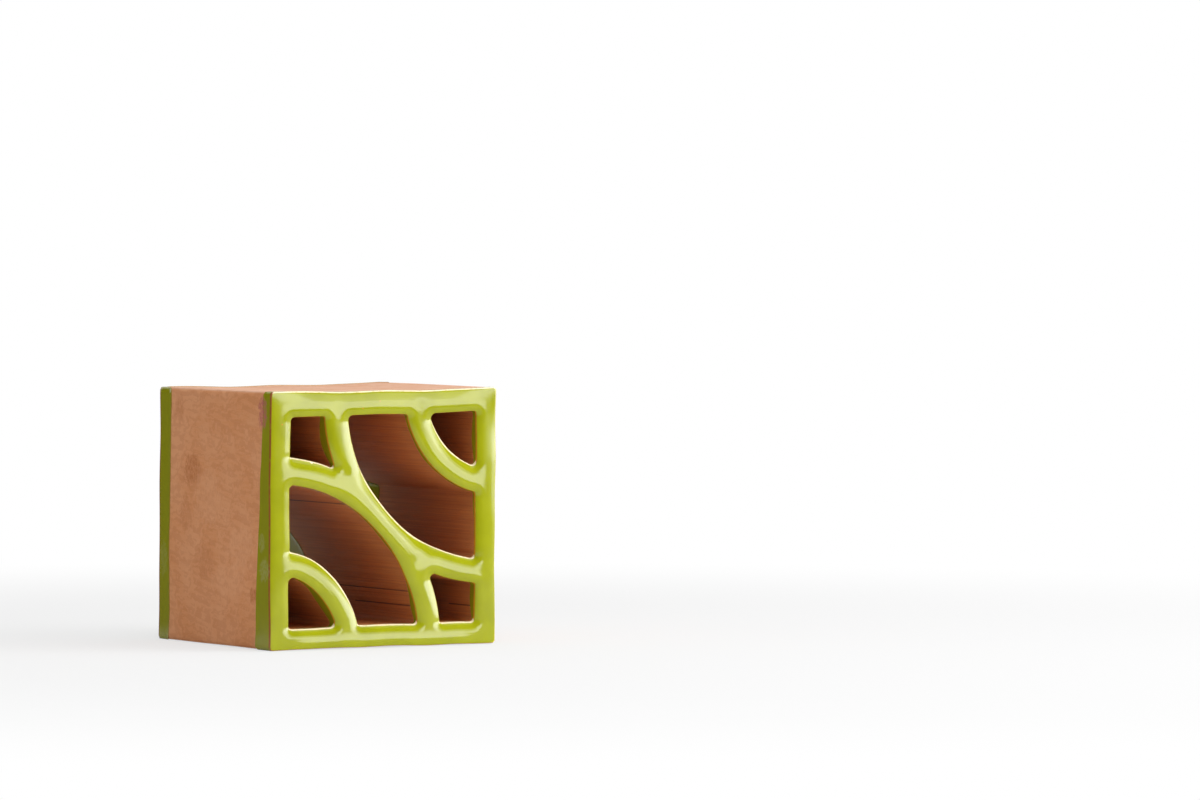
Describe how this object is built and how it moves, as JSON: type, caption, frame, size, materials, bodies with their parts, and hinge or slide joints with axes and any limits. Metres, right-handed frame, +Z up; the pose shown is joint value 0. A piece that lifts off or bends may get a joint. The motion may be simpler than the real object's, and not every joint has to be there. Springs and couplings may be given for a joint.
{
  "type": "breeze block",
  "caption": "Square extruded clay screen block, pierced right through between quarter arcs, with glossy lime green glaze on its pierced ends.",
  "frame": {"origin": "on the ground under the middle of the block", "axes": "+X across the face, +Y along the extrusion from the front end to the back end, +Z up"},
  "size_m": [0.2, 0.19, 0.2],
  "materials": {
    "fired_clay": "matt fired terracotta; the pierced ends are dipped in thick glossy lime green glaze"
  },
  "bodies": {
    "root": {"breeze_block": "fired_clay"}
  },
  "joints": []
}
